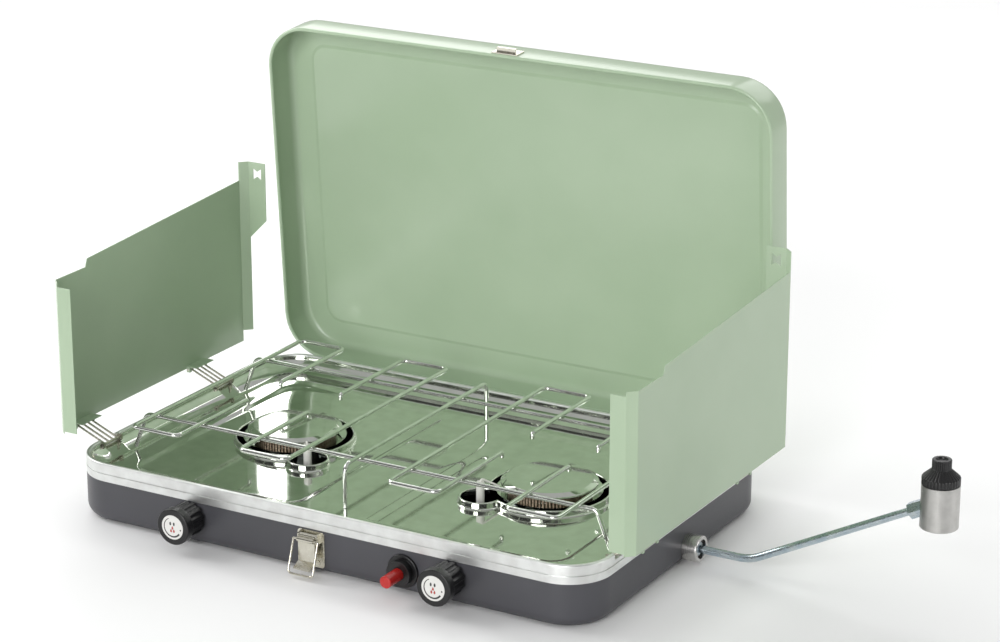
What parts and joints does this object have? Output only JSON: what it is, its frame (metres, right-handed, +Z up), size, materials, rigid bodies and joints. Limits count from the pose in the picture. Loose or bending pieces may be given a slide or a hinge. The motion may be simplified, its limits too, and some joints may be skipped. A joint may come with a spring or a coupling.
{
  "type": "camping stove",
  "caption": "Portable gas stove with a hinged green lid, folding side screens, wire pan grate, polished drip tray, round burners, knobs, igniter, latch and supply pipe.",
  "frame": {"origin": "middle of the flat underside of the case, on the surface the stove stands on", "axes": "+X to the right seen from the front, +Y to the back where the lid is hinged, +Z up"},
  "size_m": [0.8047, 0.4187, 0.3931],
  "materials": {
    "charcoal_enamel": "semi-gloss charcoal enamel on pressed steel",
    "sage_enamel": "gloss sage green enamel on pressed steel",
    "chrome_trim": "bright chrome plate",
    "polished_steel": "mirror-polished stainless sheet",
    "chromed_wire": "chromed steel wire",
    "nickel_plate": "warm nickel plate, satin",
    "galvanised_steel": "bare galvanised strip",
    "zinc_plate": "bluish bright zinc plate",
    "link_wire": "plain steel wire, slightly heat tinted",
    "satin_aluminium": "satin turned aluminium",
    "socket_steel": "satin turned steel",
    "brass": "machined brass",
    "black_plastic": "moulded black nylon",
    "red_plastic": "moulded red plastic",
    "white_dial": "white printed disc",
    "ceramic": "glazed white ceramic",
    "rubber": "black rubber",
    "lead_jacket": "pale silicone jacket"
  },
  "bodies": {
    "base": {"bottom_case": "charcoal_enamel", "rim_trim": "chrome_trim", "drip_tray": "polished_steel", "burner_supports": "galvanised_steel", "electrode_brackets": "galvanised_steel", "gas_manifold": "satin_aluminium", "inlet_socket": "socket_steel", "igniter_bezel": "black_plastic", "igniter_body": "black_plastic", "ignition_leads": "lead_jacket", "base_hinge_leaves": "nickel_plate", "hinge_pins": "nickel_plate", "base_rivets": "nickel_plate", "latch_plate": "nickel_plate", "latch_pin": "nickel_plate", "latch_rivets": "nickel_plate", "left_link_brackets": "link_wire", "right_link_brackets": "link_wire", "left_burner_bowl": "polished_steel", "left_burner_cap": "polished_steel", "left_mixing_tube": "galvanised_steel", "left_electrode": "ceramic", "left_valve": "brass", "right_burner_bowl": "polished_steel", "right_burner_cap": "polished_steel", "right_mixing_tube": "galvanised_steel", "right_electrode": "ceramic", "right_valve": "brass"},
    "lid": {"lid_shell": "sage_enamel", "lid_hinge_leaves": "nickel_plate", "lid_rivets": "nickel_plate", "latch_keeper": "nickel_plate"},
    "left_links": {"left_links": "link_wire"},
    "right_links": {"right_links": "link_wire"},
    "left_screen": {"left_screen": "sage_enamel"},
    "right_screen": {"right_screen": "sage_enamel"},
    "grate": {"grate_front_rail": "chromed_wire", "grate_rear_rail": "chromed_wire", "grate_centre_wire": "chromed_wire", "left_outer_pan_wire": "chromed_wire", "left_inner_pan_wire": "chromed_wire", "right_inner_pan_wire": "chromed_wire", "right_outer_pan_wire": "chromed_wire"},
    "left_knob": {"left_knob": "black_plastic", "left_knob_dial": "white_dial", "left_valve_stem": "brass"},
    "right_knob": {"right_knob": "black_plastic", "right_knob_dial": "white_dial", "right_valve_stem": "brass"},
    "igniter_button": {"igniter_button": "red_plastic"},
    "gas_supply": {"supply_pipe": "zinc_plate", "pipe_ring": "zinc_plate", "pipe_nut": "zinc_plate", "regulator_body": "satin_aluminium", "regulator_cap": "black_plastic", "cylinder_seal": "rubber"},
    "latch_lever": {"latch_lever": "nickel_plate"},
    "latch_bail": {"latch_bail": "nickel_plate"}
  },
  "joints": [
    {"name": "lid_hinge", "type": "hinge", "parent": "base", "child": "lid", "pos_m": [0, 0.1715, 0.0465], "axis": [1, 0, 0], "range_deg": [0, 86]},
    {"name": "right_link_hinge", "type": "hinge", "parent": "base", "child": "right_links", "pos_m": [0.26, 0, 0.0535], "axis": [0, -1, 0], "range_deg": [0, 75]},
    {"name": "right_screen_hinge", "type": "hinge", "parent": "right_links", "child": "right_screen", "pos_m": [0.291, 0, 0.066], "axis": [0, -1, 0], "range_deg": [0, 15]},
    {"name": "left_link_hinge", "type": "hinge", "parent": "base", "child": "left_links", "pos_m": [-0.26, 0, 0.0535], "axis": [0, 1, 0], "range_deg": [0, 75]},
    {"name": "left_screen_hinge", "type": "hinge", "parent": "left_links", "child": "left_screen", "pos_m": [-0.291, 0, 0.066], "axis": [0, 1, 0], "range_deg": [0, 15]},
    {"name": "grate_lift", "type": "slide", "parent": "base", "child": "grate", "axis": [0, 0, -1], "range_m": [-0.12, 0]},
    {"name": "left_knob_turn", "type": "hinge", "parent": "base", "child": "left_knob", "pos_m": [-0.13, -0.19, 0.026], "axis": [0, -1, 0], "range_deg": [0, 180]},
    {"name": "right_knob_turn", "type": "hinge", "parent": "base", "child": "right_knob", "pos_m": [0.135, -0.19, 0.026], "axis": [0, -1, 0], "range_deg": [0, 180]},
    {"name": "igniter_press", "type": "slide", "parent": "base", "child": "igniter_button", "axis": [0, 1, 0], "range_m": [0, 0.006], "stiffness_N_per_m": 900},
    {"name": "supply_swivel", "type": "hinge", "parent": "base", "child": "gas_supply", "pos_m": [0.265, 0.011, 0.0145], "axis": [1, 0, 0], "range_deg": [-60, 60]},
    {"name": "latch_lever_hinge", "type": "hinge", "parent": "base", "child": "latch_lever", "pos_m": [-0.0045, -0.1755, 0.035], "axis": [-1, 0, 0], "range_deg": [0, 90]},
    {"name": "latch_bail_hinge", "type": "hinge", "parent": "latch_lever", "child": "latch_bail", "pos_m": [-0.0045, -0.18, 0.033], "axis": [1, 0, 0], "range_deg": [-160, 0]}
  ],
  "couplings": [
    {"joint": "right_screen_hinge", "follows": "right_link_hinge", "ratio": 0.2},
    {"joint": "left_screen_hinge", "follows": "left_link_hinge", "ratio": 0.2}
  ]
}
